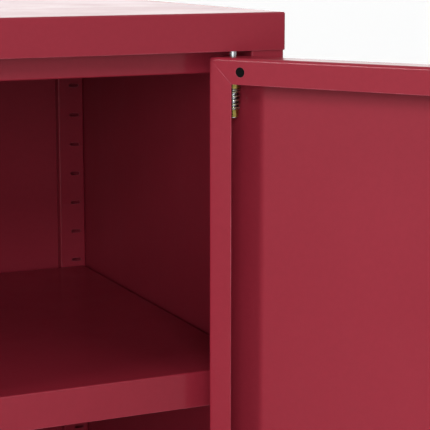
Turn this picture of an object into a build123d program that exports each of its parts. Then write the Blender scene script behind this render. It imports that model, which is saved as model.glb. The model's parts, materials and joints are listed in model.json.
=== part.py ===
from build123d import *
import os

# Two-door steel storage cabinet with three adjustable shelves.
# Millimetres. The origin is on the floor under the middle of the carcass, with +X to the
# right of someone facing the doors, +Y into the cabinet and +Z up.
# Right-hand pieces are drawn where they are used and mirrored for the left.
# The doors are drawn closed; the right one is then turned open about its pins.

# ---------------------------------------------------------------- driving dimensions
width, depth, height = 800, 400, 1020
sheet = 0.8                      # steel sheet of every folded piece
bend = 1.4                       # outer radius of a fold
open_angle = 123                 # how far the right door stands open

cap_face = 25                    # height of the top cap's rim
foot_height = 25
base_face = 25                   # height of the strip below the doors
upright_width = 23.8             # front face of each corner upright
upright_depth = 23.2             # return of the upright behind that face
rear_return = 24                 # fold of the side panel behind the back panel

stop_setback = 24.5              # door stop behind the cap's front
stop_drop = 40.9                 # bottom of the door stop below the top
deck_step = 16                   # interior floor above the ledge under the doors

door_thickness = 22.1
door_bend = 2.2                  # outer radius of the doors' folds
door_setback = 0.0               # closed door behind the cap's front
jamb_gap = 2.0                   # door to upright
top_gap = 3.4                    # cap rim to door
bottom_gap = 3.0                 # ledge to door
centre_gap = 2.0                 # between the closed doors
stile_width, rail_width = 17.5, 17.2
rail_overbend = 0.45             # inner edge of a rail flange lies this much deeper
hanging_hole_radius = 3.3        # paint hanging hole in the top rail, closed by a plug
hanging_hole_in, hanging_hole_drop = 24.0, 9.1

pin_radius = 2.5
pin_in, pin_back = 9.1, 6.0      # pin axis from the door's hinge edge and outer skin
running_clearance = 0.05
spring_radius, spring_wire, spring_turns = 4.3, 1.1, 4.4
spring_bottom, spring_top = 956.5, 970.5
collar_height, guide_height = 3.0, 5.0

shelf_height = 25                # shelf pan, top to lip
shelf_tops = {"upper": 773.4, "middle": 533.4, "lower": 293.4}
slot_pitch = 80 / 3
slot_width, slot_height = 8.7, 3.0
slot_datum = 859.0               # height of one slot; the rest step from it
slot_count_up, slot_count_down = 4, 28
slot_in = 9.9                    # slot centre from the side wall's outer face
strip_depth_front, strip_depth_rear = 6.0, 7.6

handle_centres, handle_stand, handle_radius = 96, 28, 4
handle_height, lock_height = 620, 540
edge_to_handle, edge_to_lock = 30, 30

# ---------------------------------------------------------------- derived planes
wall_x = width / 2 - sheet                     # outer face of the side wall
front_y = -depth / 2 + sheet                   # outer face of the uprights
back_y = depth / 2 - sheet                     # rear face of the side panels
jamb_x = wall_x - upright_width                # upright face beside the door
stop_y = -depth / 2 + stop_setback
stop_z = height - stop_drop
ledge_z = foot_height + base_face
deck_z = ledge_z + deck_step
panel_top = height - 2.0                       # side panels end below the cap's fold
rear_strip_y = back_y - 2 * sheet - strip_depth_rear
front_strip_y = front_y + upright_depth + strip_depth_front

door_right = jamb_x - jamb_gap                 # hinge edge
door_left = centre_gap / 2                     # free edge
door_front = -depth / 2 + door_setback
door_back = door_front + door_thickness
door_bottom = ledge_z + bottom_gap
door_top = height - cap_face - top_gap
pin_x, pin_y = door_right - pin_in, door_front + pin_back
hinge_axis = Axis((pin_x, pin_y, 0), (0, 0, 1))
handle_x = door_left + edge_to_handle
lock_x = door_left + edge_to_lock


def box_between(low, high, mode=Mode.ADD):
    """A block given by two opposite corners."""
    size = [b - a for a, b in zip(low, high)]
    middle = [(a + b) / 2 for a, b in zip(low, high)]
    with Locations(tuple(middle)):
        Box(*size, mode=mode)


def folded_section(points, side=Side.RIGHT):
    """Section of a sheet folded along a run of points, thickened to one side."""
    with BuildSketch() as section:
        with BuildLine():
            FilletPolyline(*points, radius=bend)
            offset(amount=sheet, side=side)
        make_face()
    return section.sketch


def save(name, part):
    part.label = name
    export_step(part, f"parts/{name}.step")


def save_pair(name, part):
    """Write a right-hand carcass piece and its left-hand mirror image."""
    save(f"{name}_right", part)
    save(f"{name}_left", mirror(part, about=Plane.YZ))


def save_door_pair(name, part):
    """Write a door piece turned open on the right and closed on the left."""
    save(f"{name}_right", part.rotate(hinge_axis, open_angle))
    save(f"{name}_left", mirror(part, about=Plane.YZ))


os.makedirs("parts", exist_ok=True)

# ---------------------------------------------------------------- carcass shell
rivet_radius = 1.6
rivet_heights = [height * share for share in (0.12, 0.31, 0.5, 0.69, 0.88)]
rivet_x = wall_x - rear_return / 2
wall_hole_radius, wall_hole_spacing, wall_hole_height = 3.0, 600, 960

# Top cap: a welded pan, open underneath.
with BuildPart() as top_cap:
    box_between((-width / 2, -depth / 2, height - cap_face), (width / 2, depth / 2, height))
    fillet(top_cap.edges().filter_by(Axis.Z), bend)
    fillet(top_cap.faces().sort_by(Axis.Z)[-1].edges(), bend)
    offset(amount=-sheet, openings=top_cap.faces().sort_by(Axis.Z)[0])
save("top_cap", top_cap.part)

# Side panel: one sheet folded round the upright in front and the return behind.
with BuildPart() as side_panel:
    with BuildSketch(Plane.XY.offset(foot_height)):
        add(
            folded_section(
                [
                    (wall_x - rear_return, back_y),
                    (wall_x, back_y),
                    (wall_x, front_y),
                    (jamb_x, front_y),
                    (jamb_x, front_y + upright_depth),
                ]
            )
        )
    extrude(amount=panel_top - foot_height)
    with BuildSketch(Plane.XZ.offset(-back_y)):
        with Locations(*[(rivet_x, z) for z in rivet_heights]):
            Circle(rivet_radius)
    extrude(amount=sheet, mode=Mode.SUBTRACT)
save_pair("side_panel", side_panel.part)

# Back panel: a flat sheet behind the shelves, with two holes for wall fixings.
back_panel_y = back_y - sheet
with BuildPart() as back_panel:
    box_between(
        (-wall_x + 3, back_panel_y - sheet, foot_height + 5),
        (wall_x - 3, back_panel_y, panel_top - 2),
    )
    with BuildSketch(Plane.XZ.offset(-back_panel_y)):
        with Locations(*[(side * rivet_x, z) for side in (-1, 1) for z in rivet_heights]):
            Circle(rivet_radius)
        with Locations((0, wall_hole_height)):
            with GridLocations(wall_hole_spacing, 0, 2, 1):
                Circle(wall_hole_radius)
    extrude(amount=sheet, mode=Mode.SUBTRACT)
save("back_panel", back_panel.part)

# Pop rivets through the side returns and the back panel.
rivet_head_radius, rivet_head_height = 3.2, 0.7
with BuildPart() as back_rivets:
    for side in (-1, 1):
        for z in rivet_heights:
            with BuildSketch(Plane.XZ.offset(-back_y)) as shank:
                with Locations((side * rivet_x, z)):
                    Circle(rivet_radius)
            extrude(amount=2 * sheet + 1.2)
            with BuildSketch(Plane.XZ.offset(-back_y - rivet_head_height)) as head:
                with Locations((side * rivet_x, z)):
                    Circle(rivet_head_radius)
            extrude(amount=rivet_head_height)
    fillet(back_rivets.faces().group_by(Axis.Y)[-1].edges(), 0.5)
save("back_rivets", back_rivets.part)

# Door stop: a folded rail hanging behind the doors' top edge.
stop_return = 15
end_notch = jamb_x - 0.8
with BuildPart() as front_rail:
    with BuildSketch(Plane.YZ.offset(-wall_x + sheet)):
        add(
            folded_section(
                [
                    (front_y + 1.2, panel_top),
                    (stop_y, panel_top),
                    (stop_y, stop_z),
                    (stop_y + stop_return, stop_z),
                ],
                Side.LEFT,
            )
        )
    extrude(amount=2 * (wall_x - sheet))
    for side in (-1, 1):
        box_between(
            (min(side * end_notch, side * wall_x), front_y, stop_z - 5),
            (max(side * end_notch, side * wall_x), stop_y - 0.05, panel_top + 5),
            Mode.SUBTRACT,
        )
save("front_rail", front_rail.part)

# Base: front strip, ledge under the doors, riser, interior floor and rear fold in one sheet.
base_hem = 34
base_back = back_panel_y - sheet - 0.6
foot_x, foot_front_y, foot_rear_y = 350, -180, 178
foot_spigot_radius = 5
bottom_pin_radius = 3
bottom_pin_head = 3.6
with BuildPart() as base_tray:
    with BuildSketch(Plane.YZ.offset(-wall_x + sheet)):
        add(
            folded_section(
                [
                    (front_y + base_hem, foot_height),
                    (front_y, foot_height),
                    (front_y, ledge_z),
                    (stop_y, ledge_z),
                    (stop_y, deck_z),
                    (base_back, deck_z),
                    (base_back, foot_height),
                    (base_back - base_hem, foot_height),
                ]
            )
        )
    extrude(amount=2 * (wall_x - sheet))
    for side in (-1, 1):
        box_between(
            (min(side * end_notch, side * wall_x), front_y - 1, foot_height - 1),
            (max(side * end_notch, side * wall_x), stop_y - 0.05, deck_z + 1),
            Mode.SUBTRACT,
        )
    with BuildSketch(Plane.XY.offset(foot_height)):
        with Locations((0, foot_front_y), (0, foot_rear_y)):
            with GridLocations(2 * foot_x, 0, 2, 1):
                Circle(foot_spigot_radius)
    extrude(amount=sheet, mode=Mode.SUBTRACT)
    with BuildSketch(Plane.XY.offset(ledge_z - sheet)):
        with Locations((pin_x, pin_y), (-pin_x, pin_y)):
            Circle(bottom_pin_radius)
    extrude(amount=sheet, mode=Mode.SUBTRACT)
save("base_tray", base_tray.part)

# ---------------------------------------------------------------- feet
# Moulded pads whose spigots snap into the base hem.
with BuildPart() as foot:
    with BuildSketch():
        Circle(17)
    extrude(amount=7)
    fillet(foot.edges().sort_by(Axis.Z)[0], 2)
    with BuildSketch(Plane.XY.offset(7)):
        Circle(13)
    with BuildSketch(Plane.XY.offset(foot_height)):
        Circle(15)
    loft()
    with BuildSketch(Plane.XY.offset(foot_height)):
        Circle(foot_spigot_radius)
    extrude(amount=6)
    chamfer(foot.edges().sort_by(Axis.Z)[-1], 1)
for end, foot_y in (("front", foot_front_y), ("rear", foot_rear_y)):
    save_pair(f"foot_{end}", foot.part.moved(Location((foot_x, foot_y, 0))))

# ---------------------------------------------------------------- slotted strips
slot_heights = [
    slot_datum + step * slot_pitch for step in range(-slot_count_down, slot_count_up + 1)
]
strip_outer_x = wall_x - sheet - 0.2
front_strip_x = jamb_x + sheet + 0.1           # inner edge of each pair of strips
rear_strip_x = jamb_x - 1.2
slot_x = wall_x - slot_in


def slotted_strip(inner_x, face_y, leg_y, low, high):
    """A channel whose face carries the shelf slots and whose legs reach to leg_y."""
    with BuildPart() as strip:
        with BuildSketch(Plane.XY.offset(low)):
            points = [
                (inner_x, leg_y),
                (inner_x, face_y),
                (strip_outer_x, face_y),
                (strip_outer_x, leg_y),
            ]
            add(folded_section(points, Side.RIGHT if face_y > leg_y else Side.LEFT))
        extrude(amount=high - low)
        with BuildSketch(Plane.XZ.offset(-max(face_y, leg_y) - 1)):
            with Locations(*[(slot_x, z) for z in slot_heights]):
                SlotOverall(slot_width, slot_height)
        extrude(amount=abs(face_y - leg_y) + 2, mode=Mode.SUBTRACT)
    return strip.part


save_pair(
    "shelf_strip_rear",
    slotted_strip(
        rear_strip_x, rear_strip_y, rear_strip_y + strip_depth_rear, deck_z + 0.4, panel_top - 8
    ),
)
save_pair(
    "shelf_strip_front",
    slotted_strip(
        front_strip_x, front_strip_y, front_strip_y - strip_depth_front, deck_z + 0.4, stop_z - 0.4
    ),
)

# ---------------------------------------------------------------- shelves and clips
clip_thick, clip_width, clip_tab = 1.2, 14, 12
shelf_clear = 0.5                # shelf to the clip's leg
shelf_side = wall_x - sheet - 2.4
shelf_front = stop_y + 0.2
shelf_back = rear_strip_y - clip_thick - shelf_clear
shelf_shoulder = front_strip_y + clip_thick + shelf_clear
shelf_lip_return = 12


def shelf_outline(inset):
    """Plan of a shelf, notched at the front corners to pass the slotted strips."""
    with BuildSketch() as plan:
        with Locations((0, (shelf_shoulder + shelf_back) / 2)):
            Rectangle(2 * (shelf_side - inset), shelf_back - shelf_shoulder - 2 * inset)
        with Locations((0, (shelf_front + shelf_shoulder) / 2 + inset)):
            Rectangle(2 * (jamb_x - 1.5 - inset), shelf_shoulder - shelf_front)
    return plan.sketch


for level, shelf_top in shelf_tops.items():
    shelf_bottom = shelf_top - shelf_height
    # A pan with its lips turned down and in on all sides.
    with BuildPart() as shelf:
        with BuildSketch(Plane.XY.offset(shelf_bottom)):
            add(shelf_outline(0))
        extrude(amount=shelf_height)
        fillet(shelf.faces().sort_by(Axis.Z)[-1].edges(), bend)
        with BuildSketch(Plane.XY.offset(shelf_bottom + sheet)):
            add(shelf_outline(sheet))
        extrude(amount=shelf_height - 2 * sheet, mode=Mode.SUBTRACT)
        box_between(
            (-shelf_side + shelf_lip_return, shelf_shoulder + shelf_lip_return, shelf_bottom - 1),
            (shelf_side - shelf_lip_return, shelf_back - shelf_lip_return, shelf_bottom + 1),
            Mode.SUBTRACT,
        )
    save(f"shelf_{level}", shelf.part)

    # Four clips hooked into the nearest slots, each holding up one corner.
    hook_z = min((z for z in slot_heights if z > shelf_bottom), key=lambda z: z - shelf_bottom)
    with BuildPart() as shelf_clips:
        for side in (-1, 1):
            for face, towards in ((rear_strip_y, -1), (front_strip_y, 1)):
                leg = sorted((face, face + towards * clip_thick))
                tab = sorted((face, face + towards * clip_tab))
                hook = sorted((face, face - towards * 3.0))
                box_between(
                    (side * slot_x - clip_width / 2, leg[0], shelf_bottom - clip_thick),
                    (side * slot_x + clip_width / 2, leg[1], hook_z + 6),
                )
                box_between(
                    (side * slot_x - clip_width / 2, tab[0], shelf_bottom - clip_thick),
                    (side * slot_x + clip_width / 2, tab[1], shelf_bottom),
                )
                box_between(
                    (side * slot_x - 2.6, hook[0], hook_z - 1.2),
                    (side * slot_x + 2.6, hook[1], hook_z + 1.2),
                )
    save(f"shelf_clips_{level}", shelf_clips.part)

# ---------------------------------------------------------------- hinge hardware on the carcass
plate_z, plate_thick = 998, 2
with BuildPart() as hinge_plate:
    box_between(
        (pin_x - 14, front_y + sheet, plate_z), (jamb_x, stop_y - 1.5, plate_z + plate_thick)
    )
    box_between(
        (jamb_x - plate_thick, front_y + sheet, plate_z), (jamb_x, stop_y - 1.5, plate_z + 16)
    )
    with Locations((pin_x, pin_y, plate_z + plate_thick / 2)):
        Cylinder(pin_radius + running_clearance, plate_thick, mode=Mode.SUBTRACT)
    fillet(hinge_plate.edges().filter_by(Axis.Z).group_by(Axis.X)[0], 3)
save_pair("hinge_plate", hinge_plate.part)

# Bottom pivot: a headed pin riveted up through the ledge.
with BuildPart() as bottom_pin:
    with BuildSketch(Plane.XY.offset(ledge_z - sheet - 2)):
        with Locations((pin_x, pin_y)):
            Circle(bottom_pin_head)
    extrude(amount=2)
    with BuildSketch(Plane.XY.offset(ledge_z - sheet)):
        with Locations((pin_x, pin_y)):
            Circle(bottom_pin_radius)
    extrude(amount=13)
    chamfer(bottom_pin.faces().sort_by(Axis.Z)[-1].edges(), 0.8)
save_pair("bottom_pin", bottom_pin.part)

with BuildPart() as pin_washer:
    with BuildSketch(Plane.XY.offset(ledge_z)):
        with Locations((pin_x, pin_y)):
            Circle(4.6)
            Circle(bottom_pin_radius, mode=Mode.SUBTRACT)
    extrude(amount=bottom_gap - 0.3)
save_pair("pin_washer", pin_washer.part)

# Flat magnets on the door stop and rubber bumpers on the riser, near the doors' free edges.
stop_pad = door_back + 0.3
with BuildPart() as magnet:
    box_between((22, stop_pad, stop_z + 1.4), (62, stop_y, stop_z + 8.6))
    fillet(magnet.edges().filter_by(Axis.Y), 1.5)
save_pair("magnet", magnet.part)

with BuildPart() as bumper:
    with BuildSketch(Plane.XZ.offset(-stop_y)):
        with Locations((14, ledge_z + deck_step / 2)):
            Circle(4)
    extrude(amount=stop_y - stop_pad)
    fillet(bumper.faces().sort_by(Axis.Y)[0].edges(), 1)
save_pair("bumper", bumper.part)

# ---------------------------------------------------------------- doors
lock_hole_radius = 9.1
screw_radius = 2.0
handle_ends = [handle_height + side * handle_centres / 2 for side in (-1, 1)]


def rail_relief():
    """What an over-bent rail flange leaves free of the door's inner plane, up to the mitres."""
    with BuildPart() as relief:
        with BuildSketch(Plane.YZ.offset(door_left)):
            for edge_z, inward in ((door_bottom, 1), (door_top, -1)):
                with BuildLine():
                    Polyline(
                        (door_back + 1, edge_z + inward * door_bend),
                        (door_back, edge_z + inward * door_bend),
                        (door_back - rail_overbend, edge_z + inward * rail_width),
                        (door_back + 1, edge_z + inward * rail_width),
                        close=True,
                    )
                make_face()
        extrude(amount=door_right - door_left)
        with BuildSketch(Plane.XZ.offset(-door_back - 1)):
            for edge_z, inward in ((door_bottom, 1), (door_top, -1)):
                with BuildLine():
                    Polyline(
                        (door_left, edge_z),
                        (door_right, edge_z),
                        (door_right - stile_width, edge_z + inward * rail_width),
                        (door_left + stile_width, edge_z + inward * rail_width),
                        close=True,
                    )
                make_face()
        extrude(amount=3, mode=Mode.INTERSECT)
    return relief.part


def door_panel(with_lock):
    """One sheet folded back round all four edges, its inner flanges welded at the mitres."""
    with BuildPart() as hollow:
        box_between(
            (door_left + sheet, door_front + sheet, door_bottom + sheet),
            (door_right - sheet, door_back - sheet, door_top - sheet),
        )
        fillet(hollow.edges(), door_bend - sheet)
    with BuildPart() as panel:
        box_between((door_left, door_front, door_bottom), (door_right, door_back, door_top))
        fillet(panel.edges(), door_bend)
        add(hollow.part, mode=Mode.SUBTRACT)
        box_between(
            (door_left + stile_width, door_back - 2 * sheet, door_bottom + rail_width),
            (door_right - stile_width, door_back + sheet, door_top - rail_width),
            Mode.SUBTRACT,
        )
        add(rail_relief(), mode=Mode.SUBTRACT)
        # paint hanging holes near both ends of the top rail
        with BuildSketch(Plane.XZ.offset(-door_back)):
            hole_z = door_top - hanging_hole_drop
            with Locations(
                (door_right - hanging_hole_in, hole_z), (door_left + hanging_hole_in, hole_z)
            ):
                Circle(hanging_hole_radius)
        extrude(amount=sheet, mode=Mode.SUBTRACT)
        # pin holes in the top and bottom folds
        for z, radius in ((door_top - sheet / 2, pin_radius), (door_bottom + sheet / 2, 3)):
            with Locations((pin_x, pin_y, z)):
                Cylinder(radius + running_clearance, 2 * sheet, mode=Mode.SUBTRACT)
        # handle screws and, on one door, the lock
        with BuildSketch(Plane.XZ.offset(-door_front - sheet)):
            with Locations(*[(handle_x, z) for z in handle_ends]):
                Circle(screw_radius)
            if with_lock:
                with Locations((lock_x, lock_height)):
                    Circle(lock_hole_radius)
        extrude(amount=sheet, mode=Mode.SUBTRACT)
    return panel.part


save("door_panel_right", door_panel(True).rotate(hinge_axis, open_angle))
save("door_panel_left", mirror(door_panel(False), about=Plane.YZ))

# Black plugs that close the hanging holes, snapped in behind the flange.
plug_recess, plug_skirt = 0.25, 1.1
with BuildPart() as flange_plugs:
    plug_z = door_top - hanging_hole_drop
    for plug_x in (door_right - hanging_hole_in, door_left + hanging_hole_in):
        with BuildSketch(Plane.XZ.offset(-door_back + 0.45)):
            with Locations((plug_x, plug_z)):
                Circle(hanging_hole_radius)
        extrude(amount=4)
        with BuildSketch(Plane.XZ.offset(-door_back + sheet + plug_recess)):
            with Locations((plug_x, plug_z)):
                Circle(hanging_hole_radius + plug_skirt)
        extrude(amount=1.2)
save_door_pair("flange_plugs", flange_plugs.part)

# Spring pin: slides down inside the hinge stile to free the door.
pin_bottom, pin_tip = spring_bottom - guide_height - 0.6, plate_z + plate_thick + 1.5
with BuildPart() as top_pin:
    with BuildSketch(Plane.XY.offset(pin_bottom)):
        with Locations((pin_x, pin_y)):
            Circle(pin_radius)
    extrude(amount=pin_tip - pin_bottom)
    chamfer(top_pin.faces().sort_by(Axis.Z)[-1].edges(), 0.8)
save_door_pair("top_pin", top_pin.part)

with BuildPart() as pin_collar:
    with BuildSketch(Plane.XY.offset(spring_top)):
        with Locations((pin_x, pin_y)):
            Circle(spring_radius + spring_wire / 2)
            Circle(pin_radius, mode=Mode.SUBTRACT)
    extrude(amount=collar_height)
save_door_pair("pin_collar", pin_collar.part)

# Compression spring between the bracket and the collar.
spring_rise = spring_top - spring_bottom - spring_wire
with BuildPart() as pin_spring:
    with BuildLine(Plane((pin_x, pin_y, spring_bottom + spring_wire / 2))) as coil:
        Helix(pitch=spring_rise / spring_turns, height=spring_rise, radius=spring_radius)
    with BuildSketch(Plane(coil.line @ 0, z_dir=coil.line % 0)):
        Circle(spring_wire / 2)
    sweep(path=coil.line)
save_door_pair("pin_spring", pin_spring.part)

# Plated bracket on the hinge edge that guides the pin and carries the spring.
guide_radius, bracket_leg, bracket_drop = 3.8, 1.5, 20
stile_inside = door_right - sheet
with BuildPart() as pin_bracket:
    with BuildSketch(Plane.XY.offset(spring_bottom - guide_height)):
        with Locations((pin_x, pin_y)):
            Circle(guide_radius)
        with Locations(((pin_x + stile_inside) / 2, pin_y)):
            Rectangle(stile_inside - pin_x, 2 * guide_radius)
        with Locations((pin_x, pin_y)):
            Circle(pin_radius + running_clearance, mode=Mode.SUBTRACT)
    extrude(amount=guide_height)
    box_between(
        (stile_inside - bracket_leg, pin_y - guide_radius, spring_bottom - bracket_drop),
        (stile_inside, pin_y + guide_radius, spring_bottom - guide_height),
    )
save_door_pair("pin_bracket", pin_bracket.part)

# Bow handle: one bent bar, screwed from inside the door.
with BuildPart() as door_handle:
    with BuildLine() as bow:
        low, high = handle_ends
        reach = door_front - handle_stand
        FilletPolyline(
            (handle_x, door_front, low),
            (handle_x, reach, low),
            (handle_x, reach, high),
            (handle_x, door_front, high),
            radius=11,
        )
    with BuildSketch(Plane((handle_x, door_front, low), z_dir=(0, -1, 0))):
        Circle(handle_radius)
    sweep(path=bow.line)
    with BuildSketch(Plane.XZ.offset(-door_front)):
        with Locations(*[(handle_x, z) for z in handle_ends]):
            Circle(screw_radius)
    extrude(amount=9, mode=Mode.SUBTRACT)
save_door_pair("door_handle", door_handle.part)

with BuildPart() as handle_screws:
    for z in handle_ends:
        with BuildSketch(Plane.XZ.offset(-door_front - sheet)):
            with Locations((handle_x, z)):
                Circle(screw_radius)
        extrude(amount=8.5)
        with BuildSketch(Plane.XZ.offset(-door_front - sheet - 2)):
            with Locations((handle_x, z)):
                Circle(4)
        extrude(amount=2)
save_door_pair("handle_screws", handle_screws.part)

# ---------------------------------------------------------------- cam lock, right door only
lock_face, lock_back = door_front - 2.5, door_back - 1.5
core_radius = 6.0
cam_front, cam_thick, cam_length, cam_width = door_back + 0.6, 1.5, 45, 13


def disc(radius, from_y, to_y, mode=Mode.ADD):
    """A round block on the lock's axis."""
    with BuildSketch(Plane.XZ.offset(-to_y)) as section:
        with Locations((lock_x, lock_height)):
            Circle(radius)
    extrude(section.sketch, amount=to_y - from_y, mode=mode)


with BuildPart() as lock_housing:
    disc(11.5, lock_face, door_front)
    fillet(lock_housing.faces().sort_by(Axis.Y)[0].edges(), 1.2)
    disc(lock_hole_radius, door_front, lock_back)
    disc(core_radius + running_clearance, lock_face, lock_back, Mode.SUBTRACT)
save("lock_housing", lock_housing.part.rotate(hinge_axis, open_angle))

with BuildPart() as lock_nut:
    with BuildSketch(Plane.XZ.offset(-door_front - sheet - 3)):
        with Locations((lock_x, lock_height)):
            RegularPolygon(13.5, 6)
            Circle(lock_hole_radius, mode=Mode.SUBTRACT)
    extrude(amount=3)
save("lock_nut", lock_nut.part.rotate(hinge_axis, open_angle))

with BuildPart() as lock_core:
    disc(core_radius, lock_face - 0.4, cam_front)
    with BuildSketch(Plane.XZ.offset(-cam_front - cam_thick)):
        with Locations((lock_x, lock_height)):
            Rectangle(7, 7)
    extrude(amount=cam_thick)
    with BuildSketch(Plane.XZ.offset(-lock_face - 3)):
        with Locations((lock_x, lock_height)):
            Rectangle(1.8, 7)
    extrude(amount=8, mode=Mode.SUBTRACT)
save("lock_core", lock_core.part.rotate(hinge_axis, open_angle))

with BuildPart() as lock_cam:
    with BuildSketch(Plane.XZ.offset(-cam_front - cam_thick)):
        with Locations((lock_x, lock_height - (cam_length - cam_width / 2) / 2)):
            SlotOverall(cam_length + cam_width / 2, cam_width, rotation=90)
        with Locations((lock_x, lock_height)):
            Rectangle(7, 7, mode=Mode.SUBTRACT)
    extrude(amount=cam_thick)
save("lock_cam", lock_cam.part.rotate(hinge_axis, open_angle))

with BuildPart() as cam_screw:
    disc(5.0, cam_front + cam_thick, cam_front + cam_thick + 0.9)
save("cam_screw", cam_screw.part.rotate(hinge_axis, open_angle))
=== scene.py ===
"""Looks of the two-door steel cabinet: powder-coated panels, plated parts, light and camera."""

import json
import math

import bpy
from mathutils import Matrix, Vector


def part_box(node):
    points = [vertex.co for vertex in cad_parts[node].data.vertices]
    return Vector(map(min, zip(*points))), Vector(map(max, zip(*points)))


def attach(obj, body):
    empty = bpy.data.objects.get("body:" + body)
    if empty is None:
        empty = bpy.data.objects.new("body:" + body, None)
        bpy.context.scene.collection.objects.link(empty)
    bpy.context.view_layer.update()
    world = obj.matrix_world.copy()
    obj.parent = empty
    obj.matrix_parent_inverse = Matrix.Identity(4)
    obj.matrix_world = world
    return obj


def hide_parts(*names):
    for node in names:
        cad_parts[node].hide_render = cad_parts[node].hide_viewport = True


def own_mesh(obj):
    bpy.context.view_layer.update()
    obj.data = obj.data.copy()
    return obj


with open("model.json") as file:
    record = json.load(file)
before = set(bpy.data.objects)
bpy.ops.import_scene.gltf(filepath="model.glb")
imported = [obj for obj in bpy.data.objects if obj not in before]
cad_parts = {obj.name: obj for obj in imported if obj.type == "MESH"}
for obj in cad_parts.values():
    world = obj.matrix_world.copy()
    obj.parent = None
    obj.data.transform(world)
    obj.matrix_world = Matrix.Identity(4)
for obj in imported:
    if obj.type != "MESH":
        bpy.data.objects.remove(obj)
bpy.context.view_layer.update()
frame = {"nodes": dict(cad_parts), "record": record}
nodes = frame["nodes"]
scene = bpy.context.scene

MM = 0.001


# ------------------------------------------------------------------ shader helpers
class Shader:
    """One Principled material and short names for the nodes it is built from."""

    def __init__(self, name, **constants):
        self.material = bpy.data.materials.new(name)
        self.material.use_nodes = True
        self.tree = self.material.node_tree
        self.surface = self.tree.nodes["Principled BSDF"]
        for socket, value in constants.items():
            self.surface.inputs[socket.replace("_", " ")].default_value = value
        self.place = self.node("ShaderNodeTexCoord").outputs["Object"]

    def node(self, kind, **settings):
        made = self.tree.nodes.new(kind)
        for name, value in settings.items():
            setattr(made, name, value)
        return made

    def link(self, source, target):
        self.tree.links.new(source, target)

    def noise(self, scale, detail=2.0, roughness=0.5, stretch=(1, 1, 1)):
        mapping = self.node("ShaderNodeMapping")
        mapping.inputs["Scale"].default_value = stretch
        self.link(self.place, mapping.inputs["Vector"])
        texture = self.node("ShaderNodeTexNoise")
        texture.inputs["Scale"].default_value = scale
        texture.inputs["Detail"].default_value = detail
        texture.inputs["Roughness"].default_value = roughness
        self.link(mapping.outputs["Vector"], texture.inputs["Vector"])
        return texture.outputs["Fac"]

    def spread(self, value, low, high, to_low, to_high):
        """The value remapped from one range to another."""
        remap = self.node("ShaderNodeMapRange")
        remap.interpolation_type = "SMOOTHSTEP"
        self.link(value, remap.inputs["Value"])
        ends = {"From Min": low, "From Max": high, "To Min": to_low, "To Max": to_high}
        for name, number in ends.items():
            remap.inputs[name].default_value = number
        return remap.outputs["Result"]

    def maths(self, operation, a, b):
        node = self.node("ShaderNodeMath", operation=operation)
        for socket, value in zip(node.inputs, (a, b)):
            if isinstance(value, (int, float)):
                socket.default_value = value
            else:
                self.link(value, socket)
        return node.outputs["Value"]

    def mix(self, share, a, b):
        """Colour a turning into colour b as share goes from 0 to 1."""
        node = self.node("ShaderNodeMix", data_type="RGBA")
        self.link(share, node.inputs["Factor"])
        for socket, value in ((node.inputs[6], a), (node.inputs[7], b)):
            if isinstance(value, tuple):
                socket.default_value = (*value, 1)
            else:
                self.link(value, socket)
        return node.outputs[2]

    def bump(self, height, distance, strength, under=None):
        node = self.node("ShaderNodeBump")
        node.inputs["Strength"].default_value = strength
        node.inputs["Distance"].default_value = distance
        self.link(height, node.inputs["Height"])
        if under is not None:
            self.link(under, node.inputs["Normal"])
        return node.outputs["Normal"]

    def rounded_edges(self, radius):
        node = self.node("ShaderNodeBevel", samples=6)
        node.inputs["Radius"].default_value = radius
        return node.outputs["Normal"]

    def edges(self, radius):
        """1 along the edges of a piece, 0 on its faces."""
        dot = self.node("ShaderNodeVectorMath", operation="DOT_PRODUCT")
        self.link(self.rounded_edges(radius), dot.inputs[0])
        self.link(self.node("ShaderNodeNewGeometry").outputs["Normal"], dot.inputs[1])
        return self.spread(dot.outputs["Value"], 0.99, 0.8, 0.0, 1.0)

    def set(self, socket, value):
        self.link(value, self.surface.inputs[socket])


# ------------------------------------------------------------------ materials
PAINT = (0.27, 0.0175, 0.0325)
PAINT_DARK = (0.24, 0.0145, 0.0275)
# Pink edge colour: partly paint thinned on the edges, partly a painted highlight along the bends
# and mitres.
PAINT_THIN_EDGE_HIGHLIGHT = (0.55, 0.13, 0.17)


def powder_coat(name):
    """Semi-gloss crimson powder coat with orange peel; its edges are lightened pink in patches,
    partly for paint thinned on the edges and partly as a painted highlight along the bends and
    mitres.
    """
    paint = Shader(
        name, Specular_IOR_Level=0.12, Coat_Weight=0.35, Coat_Roughness=0.12, Coat_IOR=1.3
    )
    broad = paint.spread(paint.noise(4.0, 3), 0.3, 0.7, 0.0, 0.7)
    fine = paint.spread(paint.noise(260, 3, 0.6), 0.35, 0.65, 0.0, 0.3)
    colour = paint.mix(paint.maths("ADD", broad, fine), PAINT_DARK, PAINT)
    # Painted highlight: the edges are lightened pink in patches, partly for thin paint there and
    # partly standing in for light caught on the bends and mitres.
    edge = paint.edges(0.9 * MM)
    patchy = paint.spread(paint.noise(45, 4, 0.6), 0.4, 0.62, 0.25, 0.8)
    paint.set("Base Color", paint.mix(paint.maths("MULTIPLY", edge, patchy), colour, PAINT_THIN_EDGE_HIGHLIGHT))

    smears = paint.noise(9, 5, 0.6, (1, 1, 0.35))
    paint.set("Roughness", paint.spread(smears, 0.3, 0.75, 0.34, 0.47))

    normal = paint.rounded_edges(0.5 * MM)
    normal = paint.bump(paint.noise(7, 1), 6 * MM, 0.05, normal)
    normal = paint.bump(paint.noise(620, 2), 0.12 * MM, 0.28, normal)
    normal = paint.bump(paint.noise(2600, 1), 0.02 * MM, 0.25, normal)
    paint.set("Normal", normal)
    paint.set("Coat Normal", normal)
    return paint.material


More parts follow.
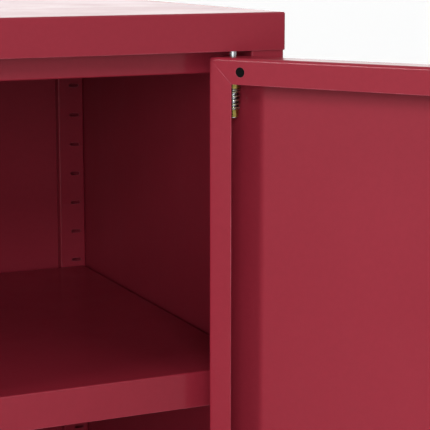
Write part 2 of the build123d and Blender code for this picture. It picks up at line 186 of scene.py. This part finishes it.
def plated_steel(name, colour, tint, roughness):
    """Bright plating: uneven passivate colour, fine wear and a brushed grain."""
    metal = Shader(name, Metallic=1.0)
    cloud = metal.spread(metal.noise(300, 4, 0.65), 0.35, 0.65, 0.0, 1.0)
    base = metal.mix(cloud, colour, tint)
    edge = metal.edges(0.35 * MM)
    bright = tuple(min(1.0, 1.25 * c + 0.05) for c in colour)
    metal.set("Base Color", metal.mix(edge, base, bright))
    grain = metal.noise(1500, 3, 0.6)
    metal.set("Roughness", metal.spread(grain, 0.3, 0.7, roughness * 0.75, roughness * 1.35))
    normal = metal.rounded_edges(0.25 * MM)
    metal.set("Normal", metal.bump(grain, 0.03 * MM, 0.35, normal))
    return metal.material


def moulded(name, colour, worn, roughness, grain, gloss=0.25):
    """Moulded plastic or rubber with a fine eroded texture."""
    plastic = Shader(name, Specular_IOR_Level=gloss)
    scuff = plastic.spread(plastic.noise(90, 5, 0.7), 0.45, 0.75, 0.0, 1.0)
    edge = plastic.edges(0.8 * MM)
    share = plastic.maths("MAXIMUM", plastic.maths("MULTIPLY", scuff, 0.35), edge)
    plastic.set("Base Color", plastic.mix(share, colour, worn))
    texture = plastic.noise(grain, 2, 0.6)
    plastic.set("Roughness", plastic.spread(texture, 0.3, 0.7, roughness * 0.85, roughness * 1.1))
    normal = plastic.rounded_edges(0.4 * MM)
    plastic.set("Normal", plastic.bump(texture, 0.08 * MM, 0.4, normal))
    return plastic.material


finish = {
    "paint": powder_coat("crimson_powder_coat"),
    "zinc": plated_steel("zinc_plate", (0.62, 0.63, 0.65), (0.48, 0.5, 0.53), 0.3),
    "yellow_zinc": plated_steel("yellow_zinc", (0.46, 0.34, 0.1), (0.17, 0.14, 0.035), 0.22),
    "chrome": plated_steel("bright_chrome", (0.78, 0.79, 0.8), (0.7, 0.71, 0.73), 0.12),
    "plastic": moulded(
        "black_plastic", (0.004, 0.004, 0.0045), (0.01, 0.01, 0.011), 0.7, 1400, 0.05
    ),
    "rubber": moulded(
        "black_rubber", (0.004, 0.004, 0.004), (0.012, 0.012, 0.012), 0.9, 900, 0.04
    ),
    "magnet": moulded("magnet_rubber", (0.03, 0.03, 0.033), (0.09, 0.09, 0.095), 0.6, 1100),
    "nylon": moulded("nylon", (0.72, 0.7, 0.64), (0.55, 0.53, 0.48), 0.45, 800),
}
passivated_spring = plated_steel("spring_plate", (0.78, 0.76, 0.64), (0.42, 0.4, 0.26), 0.16)
slot_of = {part["node"]: part["material_slot"] for part in frame["record"]["subparts"]}
for name, node in nodes.items():
    node.data.materials.clear()
    node.data.materials.append(finish[slot_of[name]])

# ------------------------------------------------------------------ springs on the top pins
SPRING_RADIUS, SPRING_WIRE = 4.3 * MM, 1.1 * MM
SPRING_CLEARANCE = 0.05 * MM


def coil_spring(name, centre, low, high, radius, wire):
    """A compression spring with closed, ground end coils, as one swept wire."""
    end_turns, open_turns = 1.0, 4.0
    steps, sides = 30, 12  # rings to a turn, points to a ring
    rise = high - low - wire * (1 + 2 * end_turns)  # taken up by the open turns
    rings = int((2 * end_turns + open_turns) * steps) + 1
    points, faces = [], []
    for ring in range(rings):
        turn = ring / steps
        opened = min(max(turn - end_turns, 0.0), open_turns)
        closed = turn - opened
        z = low + wire * (0.5 + closed) + rise * opened / open_turns
        angle = math.tau * turn
        for side in range(sides):
            around = math.tau * side / sides
            out = radius + 0.5 * wire * math.cos(around)
            height = min(max(z + 0.5 * wire * math.sin(around), low), high)
            points.append(
                (centre.x + out * math.cos(angle), centre.y + out * math.sin(angle), height)
            )
            if ring:
                a, b = ring * sides + side, ring * sides + (side + 1) % sides
                faces.append((a - sides, b - sides, b, a))
    faces.append(tuple(range(sides)))
    faces.append(tuple(reversed(range((rings - 1) * sides, rings * sides))))
    mesh = bpy.data.meshes.new(name)
    mesh.from_pydata(points, [], faces)
    mesh.shade_smooth()
    mesh.materials.append(passivated_spring)
    spring = bpy.data.objects.new(name, mesh)
    scene.collection.objects.link(spring)
    return spring


for side in ("left", "right"):
    pin_low, pin_high = (Vector(corner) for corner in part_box(f"top_pin_{side}"))
    coil_low, coil_high = (Vector(corner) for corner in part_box(f"pin_spring_{side}"))
    axis = (pin_low + pin_high) / 2
    low, high = coil_low.z + SPRING_CLEARANCE, coil_high.z - SPRING_CLEARANCE
    spring = coil_spring(f"top_spring_{side}", axis, low, high, SPRING_RADIUS, SPRING_WIRE)
    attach(spring, f"{side}_door")
    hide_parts(f"pin_spring_{side}")
    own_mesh(spring)

# ------------------------------------------------------------------ floor and light
ROOM_FRONT, ROOM_BACK = 0.15, 1.45  # world strength in front of and behind the cabinet
HORIZON = 0.6  # added to it in a pale band round the horizon
COOL = (0.86, 1.0, 1.0)
FLOOR_REACH = 40
floor_mesh = bpy.data.meshes.new("floor")
floor_mesh.from_pydata(
    [
        (-FLOOR_REACH, -FLOOR_REACH, 0),
        (FLOOR_REACH, -FLOOR_REACH, 0),
        (FLOOR_REACH, FLOOR_REACH, 0),
        (-FLOOR_REACH, FLOOR_REACH, 0),
    ],
    [],
    [(0, 1, 2, 3)],
)
floor = bpy.data.objects.new("studio_floor", floor_mesh)
scene.collection.objects.link(floor)
pale = Shader(
    "studio_floor", Roughness=0.8, Specular_IOR_Level=0.1, Emission_Color=(1, 1, 1, 1)
)
length = pale.node("ShaderNodeVectorMath", operation="LENGTH")
pale.link(pale.place, length.inputs[0])
distance = length.outputs["Value"]
sweep = pale.spread(distance, 0.8, 4.0, 0.0, 1.0)
cloudy = pale.mix(pale.noise(3, 2), (0.52, 0.52, 0.52), (0.55, 0.55, 0.55))
pale.set("Base Color", pale.mix(sweep, cloudy, (0.96, 0.96, 0.96)))
pale.set("Emission Strength", pale.spread(distance, 2.0, 5.0, 0.0, 0.5))
floor_mesh.materials.append(pale.material)

world = bpy.data.worlds.new("studio")
scene.world = world
world.use_nodes = True
sky = world.node_tree
axes = sky.nodes.new("ShaderNodeSeparateXYZ")
sky.links.new(sky.nodes.new("ShaderNodeTexCoord").outputs["Generated"], axes.inputs[0])


def sky_ramp(axis, low, high, to_low, to_high):
    """World strength going from to_low to to_high as a view direction's axis goes low to high."""
    ramp = sky.nodes.new("ShaderNodeMapRange")
    ramp.interpolation_type = "SMOOTHSTEP"
    ends = {"From Min": low, "From Max": high, "To Min": to_low, "To Max": to_high}
    for name, number in ends.items():
        ramp.inputs[name].default_value = number
    sky.links.new(axes.outputs[axis], ramp.inputs["Value"])
    return ramp.outputs["Result"]


total = sky.nodes.new("ShaderNodeMath")
total.operation = "ADD"
sky.links.new(sky_ramp("Y", 0.1, 0.9, ROOM_FRONT, ROOM_BACK), total.inputs[0])
sky.links.new(sky_ramp("Z", 0.1, 0.4, HORIZON, 0.0), total.inputs[1])
sky.links.new(total.outputs["Value"], sky.nodes["Background"].inputs["Strength"])
sky.nodes["Background"].inputs["Color"].default_value = (1, 1, 1, 1)


def softbox(name, place, target, size, power, tint=(1, 1, 1)):
    """A rectangular area light at place, facing target."""
    light = bpy.data.lights.new(name, "AREA")
    light.shape = "RECTANGLE"
    light.size, light.size_y = size
    light.energy = power
    light.color = tint
    lamp = bpy.data.objects.new(name, light)
    lamp.location = place
    lamp.rotation_euler = (Vector(target) - Vector(place)).to_track_quat("-Z", "Y").to_euler()
    scene.collection.objects.link(lamp)


softbox("key_left", (-2.5, -0.5, 1.95), (0.5, -0.35, 0.85), (0.5, 0.8), 48)
softbox("front_left", (-1.4, -2.7, 1.35), (0.2, 0.0, 0.8), (1.2, 0.8), 26, COOL)
softbox("front_top", (-0.5, -2.8, 2.25), (0.1, 0.0, 0.7), (0.8, 0.5), 24, COOL)
softbox("high_right", (1.3, -1.9, 3.2), (0.0, -0.2, 0.9), (1.8, 1.8), 25)

scene.view_settings.view_transform = "Standard"

# ------------------------------------------------------------------ camera
FOCAL_PIXELS, IMAGE_PIXELS = 1500, 430
SENSOR = 36
camera_data = bpy.data.cameras.new("camera")
camera_data.sensor_width = SENSOR
camera_data.lens = SENSOR * FOCAL_PIXELS / IMAGE_PIXELS
camera = bpy.data.objects.new("camera", camera_data)
camera.location = (-0.0636, -1.0872, 1.0639)
camera.rotation_euler = (math.radians(79.77), 0, math.radians(-24.91))
scene.collection.objects.link(camera)
scene.camera = camera
